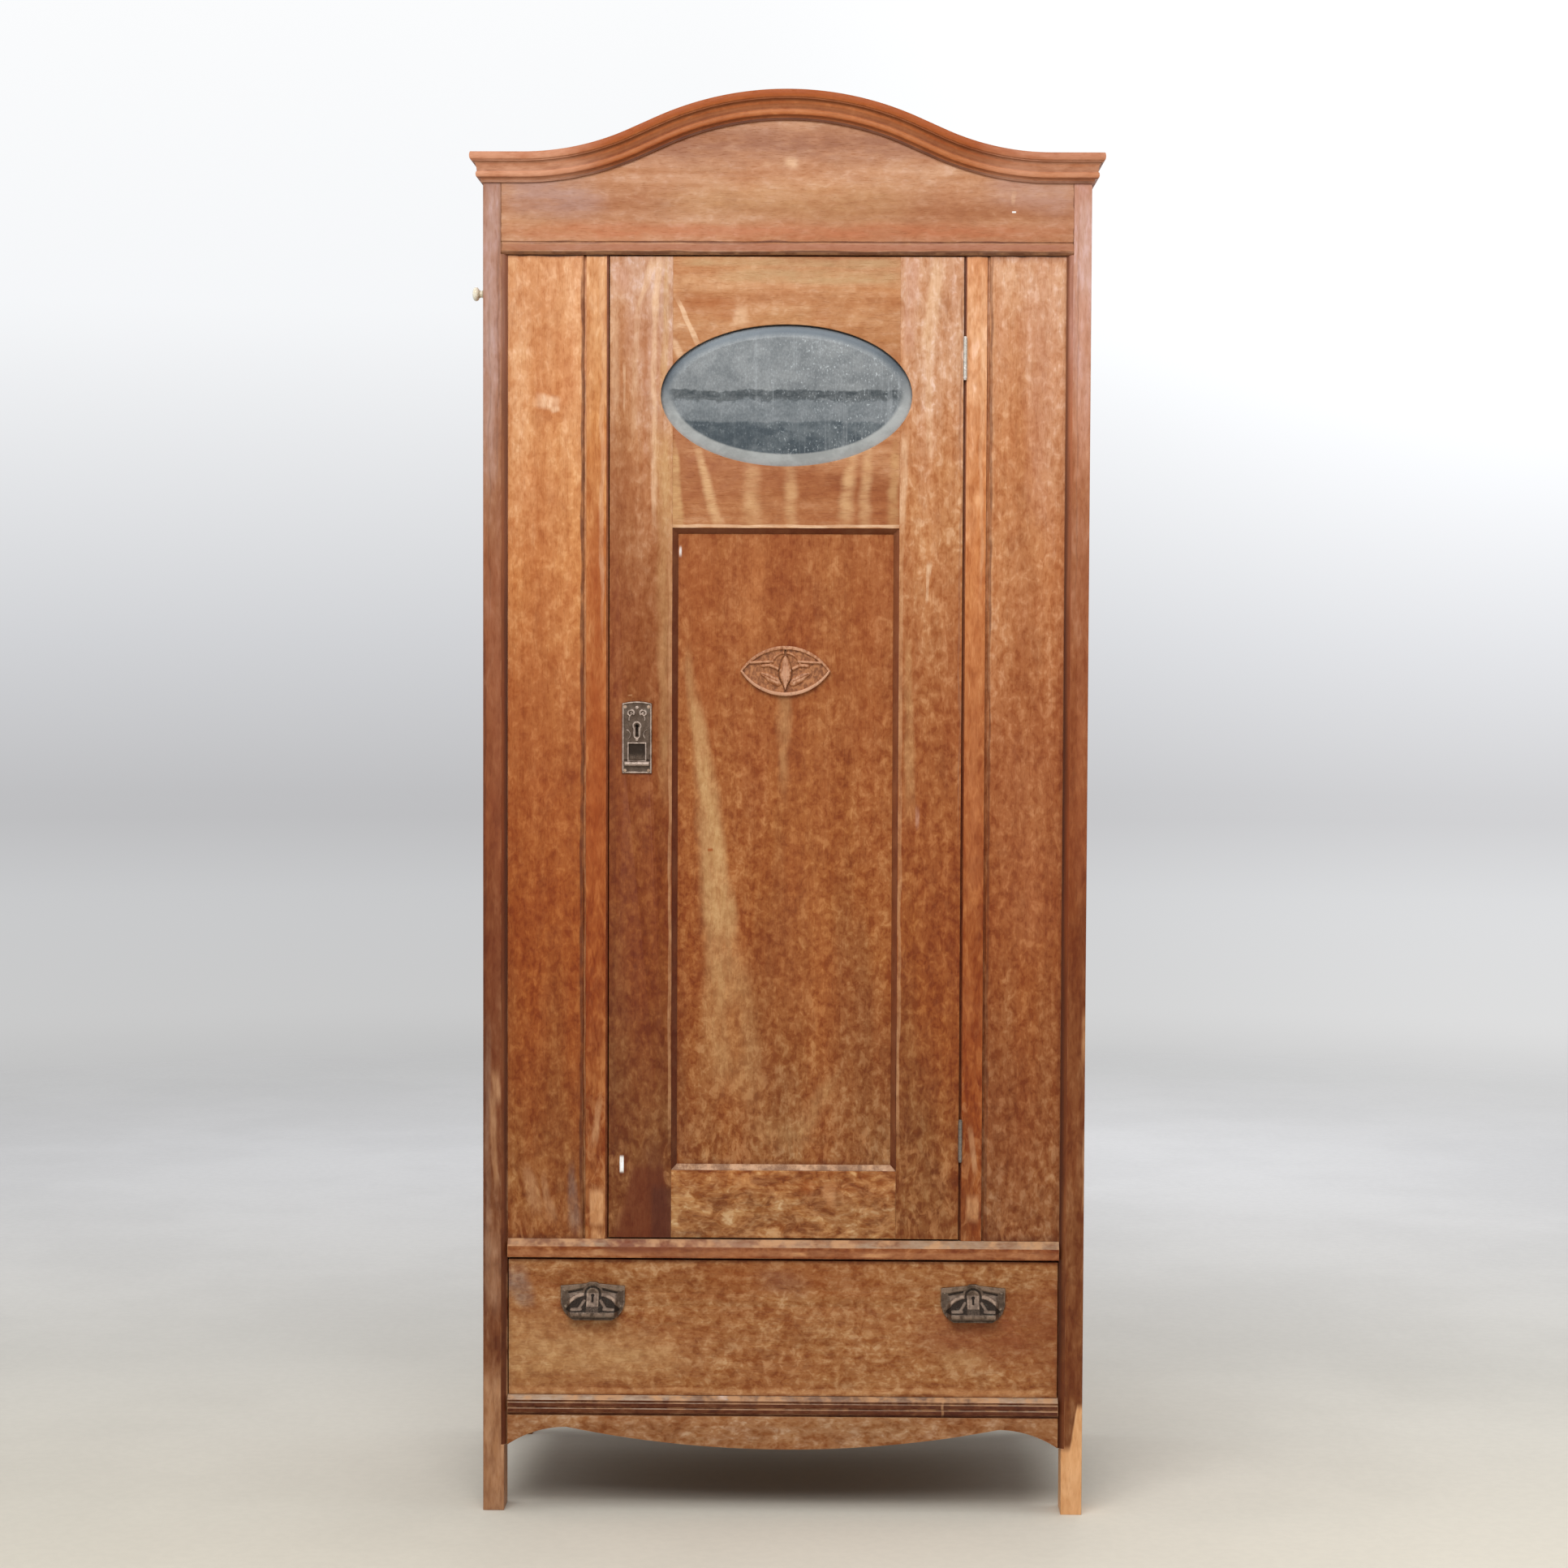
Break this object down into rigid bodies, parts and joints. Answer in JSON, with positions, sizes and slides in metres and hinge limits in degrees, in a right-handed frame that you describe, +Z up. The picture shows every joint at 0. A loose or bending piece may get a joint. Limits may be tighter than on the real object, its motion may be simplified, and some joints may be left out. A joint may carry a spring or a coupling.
{
  "type": "wardrobe",
  "caption": "Free-standing oak wardrobe with a mirrored door between fixed panels, a wide drawer below and an arched cornice.",
  "frame": {"origin": "on the floor, under the middle of the wardrobe's bounding box", "axes": "+Z up, the front faces -Y, +X to the right as seen from the front"},
  "size_m": [0.906, 0.498, 2.05],
  "materials": {
    "oak_frame": "stained oak, worn satin lacquer",
    "oak_cornice": "stained oak, satin lacquer",
    "oak_panel": "stained oak veneer, satin lacquer",
    "oak_door": "stained and sun-bleached oak, satin lacquer",
    "oak_drawer": "stained oak, dull and dusty",
    "softwood": "unfinished pine, aged",
    "beech_rod": "turned beech, waxed",
    "old_mirror": "silvered glass with spotted silvering and a ground bevel",
    "bronze": "dark bronze patina, rubbed on the edges",
    "nickel_steel": "dull nickel-plated steel",
    "lock_iron": "blackened iron",
    "bolt_brass": "drawn brass, dull",
    "porcelain": "cream glazed porcelain"
  },
  "bodies": {
    "cabinet": {"post_front_left": "oak_frame", "post_front_right": "oak_frame", "post_rear_left": "oak_frame", "post_rear_right": "oak_frame", "side_rails_left": "oak_frame", "side_rails_right": "oak_frame", "divider_rail": "oak_frame", "lower_rail": "oak_frame", "apron": "oak_frame", "cornice_front": "oak_cornice", "cornice_left": "oak_cornice", "cornice_right": "oak_cornice", "frieze_board": "oak_cornice", "side_panels_left": "oak_panel", "side_panels_right": "oak_panel", "front_panel_left": "oak_panel", "front_panel_right": "oak_panel", "muntin_left": "oak_panel", "muntin_right": "oak_panel", "back_rails": "softwood", "back_boards": "softwood", "floor_board": "softwood", "roof_board": "softwood", "drawer_runners": "softwood", "drawer_guides": "softwood", "drawer_kickers": "softwood", "drawer_stops": "softwood", "door_stop": "softwood", "hat_shelf": "softwood", "shelf_battens": "softwood", "rod_sockets": "softwood", "hanging_rod": "beech_rod", "strike_plate": "nickel_steel", "hinge_leaves_frame": "nickel_steel", "hinge_pins": "nickel_steel", "frame_screws": "nickel_steel", "side_knob": "porcelain"},
    "door": {"door_stile_left": "oak_door", "door_stile_right": "oak_door", "door_top_rail": "oak_door", "door_bottom_rail": "oak_door", "door_panel": "oak_door", "panel_beads": "oak_door", "panel_carving": "oak_door", "mirror_backing": "softwood", "mirror_buttons": "softwood", "mirror_glass": "old_mirror", "lock_plate": "bronze", "lock_plate_pins": "bronze", "lock_case": "lock_iron", "lock_cover": "lock_iron", "hinge_leaves_door": "nickel_steel", "door_screws": "nickel_steel"},
    "bolt": {"lock_bolt": "bolt_brass"},
    "drawer": {"drawer_front": "oak_drawer", "drawer_sides": "softwood", "drawer_back": "softwood", "drawer_bottom": "softwood", "drawer_pulls": "bronze", "pull_pins": "bronze"}
  },
  "joints": [
    {"name": "door_hinge", "type": "hinge", "parent": "cabinet", "child": "door", "pos_m": [0.25575, -0.2263, 1.1], "axis": [0, 0, 1], "range_deg": [0, 170]},
    {"name": "drawer_slide", "type": "slide", "parent": "cabinet", "child": "drawer", "axis": [0, -1, 0], "range_m": [0, 0.32]},
    {"name": "bolt_slide", "type": "slide", "parent": "door", "child": "bolt", "axis": [-1, 0, 0], "range_m": [0, 0.009]}
  ]
}
